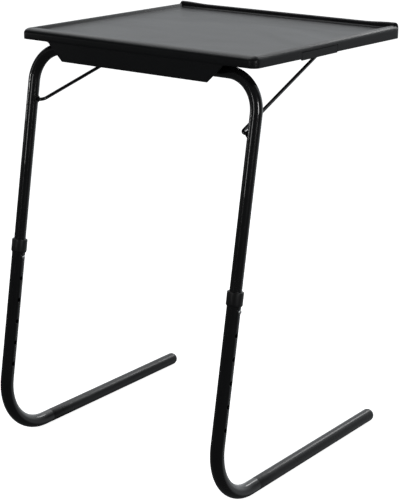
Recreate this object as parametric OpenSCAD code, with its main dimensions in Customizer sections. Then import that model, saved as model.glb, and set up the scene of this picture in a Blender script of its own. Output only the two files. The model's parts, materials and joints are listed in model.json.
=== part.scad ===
// Folding tray table on two telescoping steel legs.
// The tray hinges on the crossbar of an upside-down U tube and is propped by a wire bail.
// Millimetres. +Z up, +X to the right, +Y towards the person who sits at the table.
// Origin: on the floor, midway between the legs, at the middle of the overall depth.

/* [Table] */
// height of the tray's side rim above the floor with the legs fully out
table_h = 724; // [600:1:820]
// width of the tray from side to side
tray_w = 479; // [380:1:620]
// depth of the tray from the front wall to the rear wall
tray_d = 436; // [340:1:560]
// distance between the centres of the two legs
leg_span = 459; // [360:1:600]
// lean of the legs from upright, in degrees
lean = 9.75; // [4:0.25:16]
// length of a foot from the leg's line at the floor to the tip
foot_len = 497; // [380:1:600]

/* [Tubes] */
// outside diameter of the upper tube
upper_d = 20; // [16:0.5:25]
// wall of both tubes
tube_wall = 1.2; // [0.8:0.1:1.6]
// gap between the upper tube and the inside of the lower tube, on the radius
tube_gap = 0.3; // [0.2:0.05:0.6]
// radius of the upper frame's two bends, at the tube's centre
frame_bend = 58; // [40:1:80]
// radius of the bend between leg and foot, at the tube's centre
foot_bend = 91; // [60:1:120]

/* [Height holes] */
// spacing of the height holes along the leg
hole_pitch = 38.1; // [25:0.1:50]
// number of height holes in each leg
hole_count = 6; // [3:1:8]
// diameter of the height holes
hole_d = 7.6; // [6:0.1:9]

/* [Tray] */
// height of the side rim above the tray's flat top
rim_h = 6; // [3:0.5:10]
// extra height of the rear rim
rear_rim = 3; // [0:0.5:6]
// height of the side wall at the front of the tray
wall_front = 18; // [14:0.5:26]
// height of the side wall at the rear of the tray
wall_rear = 21.5; // [14:0.5:30]
// thickness of the moulded tray
tray_t = 2.4; // [1.8:0.1:3.5]
// outside corner radius of the tray
corner_r = 13; // [10:0.5:30]
// height of the skirt in the middle of the front wall, from the rim to its lower edge
skirt_h = 48; // [36:1:60]
// width of the skirt at its lower edge
skirt_w = 298; // [200:1:360]
// distance from the front of the tray to the crossbar's centre
hinge_inset = 29; // [26:0.5:45]
// distance from the side rim's top down to the crossbar's centre
hinge_drop = 33; // [30:0.5:40]

/* [Wire bail] */
// diameter of the bail's wire
wire_d = 6; // [4:0.5:8]
// distance along the leg from the crossbar's centre to the bail's holes
bail_drop = 88.5; // [75:0.5:110]
// length of the bail from its holes to the top bar
bail_len = 298; // [240:1:330]
// rise of the bail above level, in degrees
bail_rise = 17.8; // [10:0.1:26]
// distance from the leg's centre to the bail's elbow
elbow_in = 23; // [18:0.5:30]
// how far the bail's arms lean inwards, in degrees
arm_lean = 6.8; // [0:0.1:10]
// tilt step between two notches of the rack, in degrees
tilt_step = 8; // [6:0.5:12]

/* [Cup holder] */
// diameter of the recess for the cup
cup_d = 78; // [60:1:84]
// width of the cup holder's front
cup_front_w = 103; // [95:1:126]
// distance from the front of the tray to the middle of the cup holder
cup_y = 179; // [150:1:220]
// how far the cup holder slides out
cup_travel = 92; // [70:1:100]

/* [Hidden] */
$fn = 64;

eps = 0.5;            // overrun of a cutter past the face it cuts
run_fit = 0.08;       // radial clearance of a running fit
press_fit = 0.05;     // radial clearance of a pushed-on or screwed-in piece
free_gap = 0.5;       // clearance of sliding plastic pieces
seam_gap = 0.1;       // how far a straight tube stops short of a bend
seam_len = 1;         // length of the ring of wall between them
seam_over = 0.15;     // how far that ring stands proud of the wall

// tubes
upper_r = upper_d / 2;
bore_r = upper_r - tube_wall;
lower_in = upper_r + tube_gap;
lower_r = lower_in + tube_wall;
leg_x = leg_span / 2;

// hinge line of the tray, seen from the leg's line at the floor
hinge_s = (table_h - hinge_drop) / cos(lean);
hinge_z = table_h - hinge_drop;
hinge_off = hinge_s * sin(lean);

// foot bend: leg and foot meet at an angle of 90 - lean
foot_z = lower_r;
knee_s = foot_z / cos(lean);
knee_off = foot_z * tan(lean);
foot_angle = 90 - lean;
foot_tan = foot_bend / tan(foot_angle / 2);
bend_top = knee_s + foot_tan;
foot_start = knee_off + foot_tan;
bend_front = foot_start - foot_bend - lower_r;
neck = 16;            // full-size part of the foot, between the bend and the sleeve
neck_in = 0.8;        // how much smaller the foot is inside the sleeve, on the radius

// legs along their own line
travel = hole_pitch * (hole_count - 1);
plug_lip = 3;
plug_len = 12;
plug_clear = 0.8;
upper_end = bend_top + travel + plug_clear + plug_lip;
button_up = 25.4;
top_hole = upper_end + button_up;
low_hole = top_hole - travel;
tube_over = 27;
lower_top = top_hole + tube_over;
collar_r = 13.4;
collar_len = 23;
collar_lip = 3.5;
collar_taper = 2;

// overall depth and where the leg's line meets the floor
tray_front = hinge_off - hinge_inset;
tray_rear = tray_front + tray_d;
leg_y = -(bend_front + tray_rear) / 2;

// tray
tray_cy = leg_y + tray_front + tray_d / 2;
hinge_y = leg_y + hinge_off;
top_z = table_h - rim_h;
under_z = top_z - tray_t;
roll_r = 6;
rim_run = corner_r - roll_r;
rim_foot = 1;
wall_low = table_h - wall_rear;
rib_t = 2;
rib_h = 8;
rib_in = 6;

// skirt
skirt_back = 1;
skirt_top_w = skirt_w + 58;
skirt_low = table_h - skirt_h;
skirt_bulge = 10;

// hinge clamps
clamp_x = 122;
clamp_w = 22;
clamp_wall = 3.2;
clamp_reach = 23;
clamp_flange = 3;
clamp_screw_y = 18.2;

// screws
screw_r = 1.5;
pilot_r = screw_r + press_fit;
pass_r = 1.8;
head_r = 3.5;
head_h = 2.4;
recess_l = 4;
recess_w = 1;
recess_d = 1.2;
boss_r = 4.5;
boss_h = 6;

// bail, in its own plane: u to the side, v away from the holes
wire_r = wire_d / 2;
elbow_x = leg_x - elbow_in;
wire_bend = 10;
stub_over = 5;
pivot_y = leg_y + (hinge_s - bail_drop) * sin(lean);
pivot_z = (hinge_s - bail_drop) * cos(lean);
bar_half = elbow_x - bail_len * tan(arm_lean);
bush_wall = 1.6;
bush_flange_r = wire_r + run_fit + 3.4;
bush_flange = 1.5;
bush_deep = 2.6;

// rack: notch places in the tray's own frame, seen from the hinge line
notch_gap = 0.3;
bar_dy = pivot_y + bail_len * cos(bail_rise) - hinge_y;
bar_dz = pivot_z + bail_len * sin(bail_rise) - hinge_z;
function back_y(a) = (pivot_y - hinge_y) * cos(a) - (pivot_z - hinge_z) * sin(a);
function back_z(a) = (pivot_y - hinge_y) * sin(a) + (pivot_z - hinge_z) * cos(a);
function notch_dy(a) = back_y(a) + sqrt(pow(bail_len, 2) - pow(bar_dz - back_z(a), 2));
notch_tilts = [0, tilt_step, 2 * tilt_step];
notch_r = wire_r + notch_gap;
ramp = 33;
tooth_deep = 1.4;
rack_plate = 3;
rack_plate_x = [-16, 0, 16];
rack_half = 30;
rack_front = 9;
rack_rear = 38;
rack_flange = 3;
rack_top = under_z - boss_h;
rack_screw_x = 24.5;

// cup holder
cup_cy = tray_cy - tray_d / 2 + cup_y;
cup_top = under_z - free_gap;
cup_t = 12.2;
cup_wall = 2.2;
cup_body_w = cup_front_w - 7;
cup_front_x = tray_w / 2;
cup_len = 150;
cup_back_x = cup_front_x - cup_len;
cup_hole_x = cup_front_x - 6 - cup_d / 2;
cup_flange_w = cup_front_w + 9;
cup_flange_t = 3;
cup_flange_len = cup_len - cup_travel - tray_t - free_gap;
cup_recess = 9;
cup_slot_w = cup_front_w + 2 * free_gap;

// runners
lip_t = 2.2;
lip_in = 4.2;
web_t = 2.4;
web_gap = free_gap;
runner_len = 142;
runner_x = cup_front_x - tray_t - 1 - runner_len;
ear_len = 14;
ear_w = 11;
ear_t = 2.5;
web_in = cup_flange_w / 2 + web_gap;
lip_z = cup_top - cup_flange_t - free_gap - lip_t;
ear_z = under_z - boss_h - ear_t;
ear_x = [runner_x + 10, runner_x + runner_len - 22];

// --- shared shapes ---------------------------------------------------------

// a straight tube along +Z
module pipe(r_out, r_in, len) {
    linear_extrude(height = len)
        difference() {
            circle(r = r_out);
            circle(r = r_in);
        }
}

// a straight tube that ends just short of a bend at each end
module pipe_run(r_out, r_in, len) {
    translate([0, 0, seam_gap])
        pipe(r_out, r_in, len - 2 * seam_gap);
}

// the short ring of wall that joins a straight tube to a bend, around the origin
module seam(r_out, r_in) {
    translate([0, 0, -seam_len / 2])
        pipe(r_out + seam_over, r_in - seam_over, seam_len);
}

// a bent tube: starts at the origin along +Z and turns towards +X; joined at both ends
module pipe_bend(r_out, r_in, bend, turn) {
    slack = atan(seam_gap / bend);
    translate([bend, 0, 0])
        rotate([90, 0, 0])
            rotate([0, 0, 180 - turn + slack])
                rotate_extrude(angle = turn - 2 * slack)
                    translate([bend, 0])
                        difference() {
                            circle(r = r_out);
                            circle(r = r_in);
                        }
    seam(r_out, r_in);
    translate([bend * (1 - cos(turn)), 0, bend * sin(turn)])
        rotate([0, turn, 0])
            seam(r_out, r_in);
}

// a straight rod that ends just short of a bend at each end
module rod_run(r_out, len) {
    translate([0, 0, seam_gap])
        cylinder(r = r_out, h = len - 2 * seam_gap);
}

// a bent rod: starts at the origin along +Z and turns towards +X; joined at both ends
module rod_bend(r_out, bend, turn) {
    slack = atan(seam_gap / bend);
    translate([bend, 0, 0])
        rotate([90, 0, 0])
            rotate([0, 0, 180 - turn + slack])
                rotate_extrude(angle = turn - 2 * slack)
                    translate([bend, 0])
                        circle(r = r_out);
    translate([0, 0, -seam_len / 2])
        cylinder(r = r_out + seam_over, h = seam_len);
    translate([bend * (1 - cos(turn)), 0, bend * sin(turn)])
        rotate([0, turn, 0])
            translate([0, 0, -seam_len / 2])
                cylinder(r = r_out + seam_over, h = seam_len);
}

// the leg's own frame: +Z runs up along the leg from its foot point on the floor
module on_leg(side) {
    translate([side * leg_x, leg_y, 0])
        rotate([-lean, 0, 0])
            children();
}

// a screw that points up, its head's underside at the origin
module screw(len) {
    difference() {
        union() {
            cylinder(r = screw_r, h = len);
            translate([0, 0, -head_h])
                cylinder(r = head_r, h = head_h);
        }
        translate([0, 0, -head_h]) {
            cube([recess_l, recess_w, 2 * recess_d], center = true);
            cube([recess_w, recess_l, 2 * recess_d], center = true);
        }
    }
}

// --- steel frame -----------------------------------------------------------

// upside-down U: two leg tops, two bends, one crossbar
module upper_frame() {
    side_len = hinge_s - frame_bend - upper_end;
    color("#1b1c1e")
        difference() {
            union() {
                for (side = [-1, 1])
                    on_leg(side) {
                        translate([0, 0, upper_end])
                            pipe_run(upper_r, bore_r, side_len);
                        translate([0, 0, upper_end + side_len])
                            rotate([0, 0, side > 0 ? 180 : 0])
                                pipe_bend(upper_r, bore_r, frame_bend, 90);
                    }
                translate([-leg_x + frame_bend, hinge_y, hinge_z])
                    rotate([0, 90, 0])
                        pipe_run(upper_r, bore_r, leg_span - 2 * frame_bend);
            }
            for (side = [-1, 1])
                on_leg(side) {
                    translate([0, 0, top_hole])
                        rotate([0, 90, 0])
                            cylinder(d = hole_d, h = upper_r + eps);
                    translate([0, 0, hinge_s - bail_drop])
                        rotate([0, -side * 90, 0])
                            cylinder(r = wire_r + run_fit + bush_wall + press_fit, h = upper_r + eps);
                }
        }
}

// J-shaped leg: straight leg with the height holes, bend, straight foot with a narrower end
module lower_leg(side) {
    foot_run = foot_len - foot_start - neck - lower_r;
    color("#161719")
        difference() {
            union() {
                on_leg(side)
                    translate([0, 0, bend_top])
                        pipe_run(lower_r, lower_in, lower_top - bend_top);
                on_leg(side)
                    translate([0, 0, bend_top])
                        rotate([180, 0, 0])
                            rotate([0, 0, -90])
                                pipe_bend(lower_r, lower_in, foot_bend, 180 - foot_angle);
                translate([side * leg_x, leg_y + foot_start, foot_z])
                    rotate([-90, 0, 0]) {
                        pipe_run(lower_r, lower_in, neck);
                        translate([0, 0, neck - 3])
                            pipe(lower_r - seam_over, lower_in - neck_in - seam_over, 2);
                        translate([0, 0, neck - 2])
                            pipe(lower_r - neck_in, lower_in - neck_in, foot_run);
                    }
            }
            on_leg(side)
                for (k = [0 : hole_count - 1])
                    translate([0, 0, low_hole + k * hole_pitch])
                        rotate([0, 90, 0])
                            cylinder(d = hole_d, h = lower_r + eps);
        }
}

// plastic glide over the foot's narrower end, with a domed tip
module foot_sleeve(side) {
    sleeve_in = lower_r - neck_in + press_fit;
    len = foot_len - foot_start - neck - lower_r;
    color("#202123")
        translate([side * leg_x, leg_y + foot_start + neck, foot_z])
            rotate([-90, 0, 0])
                difference() {
                    union() {
                        cylinder(r = lower_r, h = len);
                        translate([0, 0, len])
                            intersection() {
                                sphere(r = lower_r);
                                cylinder(r = lower_r + eps, h = lower_r + eps);
                            }
                    }
                    translate([0, 0, -eps])
                        cylinder(r = sleeve_in, h = len + eps);
                }
}

// plastic ring on the lower leg's top end, its lip guiding the upper tube
module collar(side) {
    low = lower_top + collar_lip - collar_len;
    color("#111213")
        on_leg(side)
            translate([0, 0, low])
                difference() {
                    union() {
                        cylinder(r1 = lower_r + 0.7, r2 = collar_r, h = collar_taper);
                        translate([0, 0, collar_taper])
                            cylinder(r = collar_r, h = collar_len - collar_taper - 1);
                        translate([0, 0, collar_len - 1])
                            cylinder(r1 = collar_r, r2 = collar_r - 1, h = 1);
                    }
                    translate([0, 0, -eps])
                        cylinder(r = lower_r + press_fit, h = collar_len - collar_lip + eps);
                    cylinder(r = upper_r + run_fit, h = collar_len + eps);
                }
}

// plastic plug in the upper tube's end, its lip guiding inside the lower tube
module guide_plug(side) {
    color("#2a2b2d")
        on_leg(side)
            translate([0, 0, upper_end - plug_lip])
                difference() {
                    union() {
                        cylinder(r = lower_in - run_fit, h = plug_lip);
                        translate([0, 0, plug_lip])
                            cylinder(r = bore_r - press_fit, h = plug_len);
                    }
                    translate([0, 0, -eps])
                        cylinder(r = bore_r - 2, h = plug_lip + plug_len + 2 * eps);
                }
}

// --- height buttons --------------------------------------------------------

button_r = 3.4;
button_out = 3;
button_base = bore_r - 0.9;

// domed steel button that stands through both tubes, pointing to +X
module snap_button(side) {
    reach = lower_r + button_out;
    dome = 1.6;
    dome_r = (pow(button_r, 2) + pow(dome, 2)) / (2 * dome);
    color("#c9ccd0")
        on_leg(side)
            translate([0, 0, top_hole])
                rotate([0, 90, 0]) {
                    translate([0, 0, button_base])
                        cylinder(r = button_r, h = reach - dome - button_base);
                    translate([0, 0, reach - dome])
                        intersection() {
                            translate([0, 0, dome - dome_r])
                                sphere(r = dome_r);
                            cylinder(r = button_r, h = dome + eps);
                        }
                }
}

// V-shaped spring strip inside the upper tube, its point upwards
module snap_spring(side) {
    strip = 0.7;
    wide = 7;
    arm = 46;
    foot = 5;
    tip_x = button_base - 0.15;
    back_x = -button_base + 0.2;
    color("#8d9196")
        on_leg(side)
            translate([0, 0, top_hole])
                rotate([90, 0, 0])
                    translate([0, 0, -wide / 2])
                        linear_extrude(height = wide)
                            polygon([[tip_x, -foot], [tip_x, foot], [0.8, arm], [-0.8, arm],
                                [back_x, foot], [back_x, -foot], [back_x + strip, -foot],
                                [back_x + strip, foot], [-0.2, arm - 6], [0.2, arm - 6],
                                [tip_x - strip, foot], [tip_x - strip, -foot]]);
}

// --- wire bail -------------------------------------------------------------

// trapezoid of round wire; its two ends stand in the legs
module support_bail() {
    turn = 90 - arm_lean;
    bend_tan = wire_bend * tan(turn / 2);
    arm = bail_len / cos(arm_lean);
    stub = elbow_in - bend_tan + stub_over;
    color("#151618")
        translate([0, pivot_y, pivot_z])
            rotate([bail_rise, 0, 0]) {
                for (side = [0, 1])
                    mirror([side, 0, 0]) {
                        translate([elbow_x + bend_tan, 0, 0])
                            rotate([0, 90, 0])
                                rod_run(wire_r, stub);
                        translate([elbow_x + bend_tan, 0, 0])
                            rotate([0, -90, 0])
                                rotate([0, 0, 90])
                                    rod_bend(wire_r, wire_bend, turn);
                        translate([elbow_x, 0, 0])
                            rotate([0, 0, arm_lean])
                                rotate([-90, 0, 0])
                                    translate([0, 0, bend_tan])
                                        rod_run(wire_r, arm - 2 * bend_tan);
                        translate([bar_half - bend_tan, bail_len, 0])
                            rotate([0, 90, 0])
                                rotate([0, 0, -90])
                                    rod_bend(wire_r, wire_bend, turn);
                    }
                translate([-bar_half + bend_tan, bail_len, 0])
                    rotate([0, 90, 0])
                        rod_run(wire_r, 2 * (bar_half - bend_tan));
            }
}

// grommet in the leg's inner wall that carries the bail's end
module bail_bush(side) {
    color("#0d0e0f")
        translate([side * leg_x, pivot_y, pivot_z])
            rotate([-lean, 0, 0])
                rotate([0, -side * 90, 0])
                    difference() {
                        union() {
                            translate([0, 0, upper_r - bush_deep])
                                cylinder(r = wire_r + run_fit + bush_wall, h = bush_deep + bush_flange);
                            translate([0, 0, upper_r])
                                cylinder(r = bush_flange_r, h = bush_flange);
                        }
                        translate([0, 0, upper_r - bush_deep - eps])
                            cylinder(r = wire_r + run_fit, h = bush_deep + bush_flange + 2 * eps);
                    }
}

// --- tray ------------------------------------------------------------------

// section of wall, rolled rim and inner slope; x outwards from the corner's centre, y up
module rim_section() {
    translate([corner_r - tray_t, wall_low])
        square([tray_t, table_h - roll_r - wall_low]);
    intersection() {
        difference() {
            translate([rim_run, table_h - roll_r])
                circle(r = roll_r);
            translate([rim_run, table_h - roll_r])
                circle(r = roll_r - tray_t);
        }
        translate([rim_run, table_h - roll_r])
            square([roll_r, roll_r]);
    }
    polygon([[rim_run, table_h], [rim_foot, top_z], [rim_foot, under_z],
        [rim_run, table_h - tray_t]]);
}

// the whole rim and outer wall, with the wall's lower edge running down to the rear
module rim() {
    difference() {
        translate([0, tray_cy, 0])
            for (k = [0 : 3]) {
                along = k % 2 == 0 ? tray_d : tray_w;
                across = k % 2 == 0 ? tray_w : tray_d;
                rotate([0, 0, 90 * k])
                    translate([across / 2 - corner_r, along / 2 - corner_r, 0]) {
                        rotate([90, 0, 0])
                            linear_extrude(height = along - 2 * corner_r)
                                rim_section();
                        rotate_extrude(angle = 90)
                            rim_section();
                    }
            }
        translate([0, tray_cy - tray_d / 2, table_h - wall_front])
            rotate([-atan((wall_rear - wall_front) / tray_d), 0, 0])
                translate([-tray_w, -tray_d, -60])
                    cube([2 * tray_w, 3 * tray_d, 60]);
        translate([tray_w / 2 - tray_t - eps, cup_cy - cup_slot_w / 2, wall_low - eps])
            cube([tray_t + 2 * eps, cup_slot_w, cup_top + free_gap - wall_low + eps]);
    }
}

// outline of the skirt: a trapezoid that runs into the wall with two hollow curves
module skirt_outline() {
    base = table_h - wall_front;
    curve_x = skirt_top_w / 2;
    polygon([[-skirt_w / 2, skirt_low], [skirt_w / 2, skirt_low],
        [curve_x - 4, base - 4], [curve_x - 4, base + 6],
        [-curve_x + 4, base + 6], [-curve_x + 4, base - 4]]);
    for (side = [0, 1])
        mirror([side, 0])
            difference() {
                translate([curve_x - 5, base - 5])
                    square([skirt_bulge + 5, 9]);
                translate([curve_x + skirt_bulge - 4, base - skirt_bulge])
                    circle(r = skirt_bulge);
                translate([curve_x + skirt_bulge - 4, base - skirt_bulge])
                    square([skirt_bulge, skirt_bulge]);
            }
}

// blocks under the tray that sit on the crossbar
module hinge_block(side) {
    translate([side * clamp_x - clamp_w / 2, hinge_y - clamp_reach, hinge_z + clamp_flange])
        cube([clamp_w, 2 * clamp_reach, under_z - hinge_z - clamp_flange + eps]);
}

module boss(x, y) {
    translate([x, y, under_z - boss_h])
        cylinder(r = boss_r, h = boss_h + eps);
}

module pilot(x, y) {
    translate([x, y, under_z - boss_h - eps])
        cylinder(r = pilot_r, h = boss_h + eps);
}

// stiffening ribs under the flat top
module ribs() {
    rear = tray_cy + tray_d / 2 - rib_in;
    front = hinge_y + clamp_reach + 8;
    for (x = [-3, -2, -1, 1, 2])
        translate([x * tray_w / 8 - rib_t / 2, front, under_z - rib_h])
            cube([rib_t, x > 1 ? 22 : rear - front, rib_h + eps]);
    for (y = [front, rear - 58])
        translate([-tray_w / 2 + rib_in, y, under_z - rib_h])
            cube([tray_w - 2 * rib_in, rib_t, rib_h + eps]);
}

module tray() {
    crest = roll_r - 1;
    color("#3a3c3f")
        difference() {
            union() {
                rim();
                translate([0, tray_cy, under_z + tray_t / 2])
                    cube([tray_w - 2 * corner_r + 2 * rim_foot,
                        tray_d - 2 * corner_r + 2 * rim_foot, tray_t], center = true);
                translate([0, tray_cy - tray_d / 2 + skirt_back + tray_t, 0])
                    rotate([90, 0, 0])
                        linear_extrude(height = tray_t)
                            skirt_outline();
                translate([-tray_w / 2 + corner_r, tray_cy + tray_d / 2 - roll_r, table_h - roll_r])
                    rotate([0, 90, 0])
                        linear_extrude(height = tray_w - 2 * corner_r)
                            intersection() {
                                union() {
                                    translate([-roll_r - rear_rim + crest, 0])
                                        circle(r = crest);
                                    translate([-roll_r - rear_rim + crest, -crest])
                                        square([rear_rim + roll_r - crest, 2 * crest]);
                                }
                                translate([-roll_r - rear_rim, -crest])
                                    square([rear_rim + roll_r - 1, 2 * crest]);
                            }
                for (side = [-1, 1])
                    hinge_block(side);
                ribs();
                for (side = [-1, 1]) {
                    boss(side * rack_screw_x, hinge_y + bar_dy + 14);
                    for (x = ear_x)
                        boss(x, cup_cy + side * (web_in + web_t + ear_w / 2));
                }
            }
            translate([-leg_x, hinge_y, hinge_z])
                rotate([0, 90, 0])
                    cylinder(r = upper_r + run_fit, h = leg_span);
            for (side = [-1, 1]) {
                for (row = [-1, 1])
                    translate([side * clamp_x, hinge_y + row * clamp_screw_y, hinge_z])
                        cylinder(r = pilot_r, h = 16);
                pilot(side * rack_screw_x, hinge_y + bar_dy + 14);
                for (x = ear_x)
                    pilot(x, cup_cy + side * (web_in + web_t + ear_w / 2));
            }
        }
}

// saddle strap that holds the crossbar up against its block
module pivot_clamp(side) {
    color("#17181a")
        translate([side * clamp_x, hinge_y, hinge_z])
            difference() {
                union() {
                    translate([-clamp_w / 2, -clamp_reach, 0])
                        cube([clamp_w, 2 * clamp_reach, clamp_flange]);
                    translate([-clamp_w / 2, 0, 0])
                        rotate([0, 90, 0])
                            cylinder(r = upper_r + clamp_wall, h = clamp_w);
                }
                translate([-clamp_w, -2 * clamp_reach, clamp_flange])
                    cube([2 * clamp_w, 4 * clamp_reach, upper_d]);
                translate([-clamp_w, 0, 0])
                    rotate([0, 90, 0])
                        cylinder(r = upper_r + run_fit, h = 2 * clamp_w);
                for (row = [-1, 1])
                    translate([0, row * clamp_screw_y, -eps])
                        cylinder(r = pass_r, h = clamp_flange + 2 * eps);
            }
}

module clamp_screws() {
    color("#9a9da1")
        for (side = [-1, 1])
            for (row = [-1, 1])
                translate([side * clamp_x, hinge_y + row * clamp_screw_y, hinge_z])
                    screw(14);
}

// --- rack for the bail -----------------------------------------------------

// side view of one toothed plate: x rearwards from the hinge line, y up
module rack_section() {
    seat_z = bar_dz;
    top = rack_top - rack_flange - hinge_z;
    low = seat_z - tooth_deep;
    difference() {
        translate([bar_dy - rack_front, low])
            square([rack_front + rack_rear, top - low + eps]);
        for (tilt = notch_tilts)
            translate([notch_dy(tilt), seat_z]) {
                circle(r = notch_r);
                polygon([[-notch_r, 0], [notch_r * sin(ramp), notch_r * cos(ramp)],
                    [notch_r * sin(ramp) + 12 * cos(ramp), notch_r * cos(ramp) - 12 * sin(ramp)],
                    [-notch_r, -12]]);
            }
    }
}

// three toothed plates under one flange; the bail's bar stands in one of three notches
module bail_rack() {
    color("#1c1d1f")
        difference() {
            union() {
                translate([-rack_half, hinge_y + bar_dy - rack_front, rack_top - rack_flange])
                    cube([2 * rack_half, rack_front + rack_rear, rack_flange]);
                for (x = rack_plate_x)
                    translate([x - rack_plate / 2, hinge_y, hinge_z])
                        rotate([90, 0, 90])
                            linear_extrude(height = rack_plate)
                                rack_section();
            }
            for (side = [-1, 1])
                translate([side * rack_screw_x, hinge_y + bar_dy + 14, rack_top - rack_flange - eps])
                    cylinder(r = pass_r, h = rack_flange + 2 * eps);
        }
}

module rack_screws() {
    color("#9a9da1")
        for (side = [-1, 1])
            translate([side * rack_screw_x, hinge_y + bar_dy + 14, rack_top - rack_flange])
                screw(rack_flange + boss_h - 1);
}

// --- cup holder ------------------------------------------------------------

// slide-out plate with a recess for a cup; its front closes the gap in the side wall
module cup_holder() {
    low = cup_top - cup_t;
    color("#2c2e30")
        difference() {
            union() {
                translate([cup_back_x, cup_cy - cup_body_w / 2, low + 1])
                    cube([cup_len, cup_body_w, cup_t - 1]);
                translate([cup_front_x - tray_t, cup_cy - cup_front_w / 2, low])
                    cube([tray_t, cup_front_w, cup_t]);
                translate([cup_back_x, cup_cy - cup_flange_w / 2, cup_top - cup_flange_t])
                    cube([cup_flange_len, cup_flange_w, cup_flange_t]);
            }
            translate([cup_hole_x, cup_cy, cup_top - cup_recess])
                cylinder(d = cup_d, h = cup_recess + eps);
            difference() {
                translate([cup_back_x + cup_wall, cup_cy - cup_body_w / 2 + cup_wall, low - eps])
                    cube([cup_len - cup_wall - tray_t, cup_body_w - 2 * cup_wall,
                        cup_t - cup_wall + eps]);
                translate([cup_hole_x, cup_cy, low - 2 * eps])
                    cylinder(d = cup_d + 2 * cup_wall, h = cup_t + 4 * eps);
            }
        }
}

// L-shaped rail that carries one edge of the cup holder; row is -1 in front, 1 behind
module runner(row) {
    color("#242527")
        translate([0, cup_cy, 0])
            mirror([0, row > 0 ? 0 : 1, 0])
                    difference() {
                        union() {
                            translate([runner_x, web_in, lip_z])
                                cube([runner_len, web_t, under_z - lip_z]);
                            translate([runner_x, web_in - web_gap - lip_in, lip_z])
                                cube([runner_len, lip_in + web_gap + eps, lip_t]);
                            for (x = ear_x)
                                translate([x - ear_len / 2, web_in + web_t - eps, ear_z])
                                    cube([ear_len, ear_w + eps, ear_t]);
                        }
                        for (x = ear_x)
                            translate([x, web_in + web_t + ear_w / 2, ear_z - eps])
                                cylinder(r = pass_r, h = ear_t + 2 * eps);
                    }
}

module runner_screws() {
    color("#9a9da1")
        for (row = [-1, 1])
            for (x = ear_x)
                translate([x, cup_cy + row * (web_in + web_t + ear_w / 2), ear_z])
                    screw(ear_t + boss_h - 1);
}

// --- nodes -----------------------------------------------------------------

tray();
upper_frame();
lower_leg(-1);  // left_lower_leg
lower_leg(1);  // right_lower_leg
collar(-1);  // left_collar
collar(1);  // right_collar
guide_plug(-1);  // left_guide_plug
guide_plug(1);  // right_guide_plug
snap_button(-1);  // left_snap_button
snap_button(1);  // right_snap_button
snap_spring(-1);  // left_snap_spring
snap_spring(1);  // right_snap_spring
foot_sleeve(-1);  // left_foot_sleeve
foot_sleeve(1);  // right_foot_sleeve
support_bail();
bail_bush(-1);  // left_bail_bush
bail_bush(1);  // right_bail_bush
pivot_clamp(-1);  // left_pivot_clamp
pivot_clamp(1);  // right_pivot_clamp
clamp_screws();
bail_rack();
rack_screws();
cup_holder();
runner(-1);  // front_runner
runner(1);  // rear_runner
runner_screws();
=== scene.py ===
"""Looks of the folding tray table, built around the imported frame. Millimetres, and metres for the stage."""

import json
import math

import bmesh
import bpy
from mathutils import Matrix, Vector

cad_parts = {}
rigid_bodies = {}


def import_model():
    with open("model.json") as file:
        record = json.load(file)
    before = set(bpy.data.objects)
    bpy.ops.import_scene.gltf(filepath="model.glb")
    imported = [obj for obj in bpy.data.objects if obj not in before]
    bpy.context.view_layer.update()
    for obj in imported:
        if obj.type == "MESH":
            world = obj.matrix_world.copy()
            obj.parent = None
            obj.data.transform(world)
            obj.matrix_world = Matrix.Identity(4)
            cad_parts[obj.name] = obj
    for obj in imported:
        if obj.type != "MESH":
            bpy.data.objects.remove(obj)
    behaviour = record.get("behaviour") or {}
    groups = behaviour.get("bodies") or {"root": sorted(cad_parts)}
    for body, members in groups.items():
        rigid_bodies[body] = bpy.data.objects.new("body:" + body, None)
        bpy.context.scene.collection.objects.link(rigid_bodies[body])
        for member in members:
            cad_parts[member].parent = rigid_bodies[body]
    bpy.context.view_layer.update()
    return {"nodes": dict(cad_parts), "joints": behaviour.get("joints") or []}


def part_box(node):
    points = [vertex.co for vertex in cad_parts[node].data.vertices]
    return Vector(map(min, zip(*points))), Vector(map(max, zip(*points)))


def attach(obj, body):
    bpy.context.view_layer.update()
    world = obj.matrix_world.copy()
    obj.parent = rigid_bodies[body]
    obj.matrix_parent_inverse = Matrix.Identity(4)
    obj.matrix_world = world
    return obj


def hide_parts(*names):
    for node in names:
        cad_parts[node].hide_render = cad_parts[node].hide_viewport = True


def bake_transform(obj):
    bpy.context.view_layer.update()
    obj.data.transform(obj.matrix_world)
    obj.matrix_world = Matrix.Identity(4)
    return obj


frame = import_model()

MM = 0.001
JOINTS = {j["name"]: j for j in frame["joints"]}
HINGE = Vector(JOINTS["tray_fold"]["pos_m"]) / MM
PIVOT = Vector(JOINTS["bail_swing"]["pos_m"]) / MM
LEG_AXIS = Vector(JOINTS["left_leg_slide"]["axis"]).normalized()
LEAN = math.atan2(LEG_AXIS.y, LEG_AXIS.z)
NAMES = {-1: "left", 1: "right"}


def cad(node):
    lo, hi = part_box(node)
    return lo / MM, hi / MM


# sizes shared with the CAD model: the tray
TRAY_LO, TRAY_HI = cad("tray")
TRAY_T = 2.4
RIM_H = 6.0
REAR_RIM = 3.0
TABLE_H = TRAY_HI.z - REAR_RIM
TOP_Z = TABLE_H - RIM_H
UNDER_Z = TOP_Z - TRAY_T
TRAY_CY = (TRAY_LO.y + TRAY_HI.y) / 2
HALF_X = (TRAY_HI.x - TRAY_LO.x) / 2
HALF_Y = (TRAY_HI.y - TRAY_LO.y) / 2
CORNER = 13.0
WALL_FRONT = 18.0
WALL_REAR = 21.5
SKIRT_LOW = TRAY_LO.z
SKIRT_W = 298.0
SKIRT_FLARE = 58.0
RIB_T = 2.0
RIB_H = 8.0
SUNK = 0.8  # how far a rib, block or post reaches up into the tray's skin
CUP_GAP = 0.9

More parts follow.
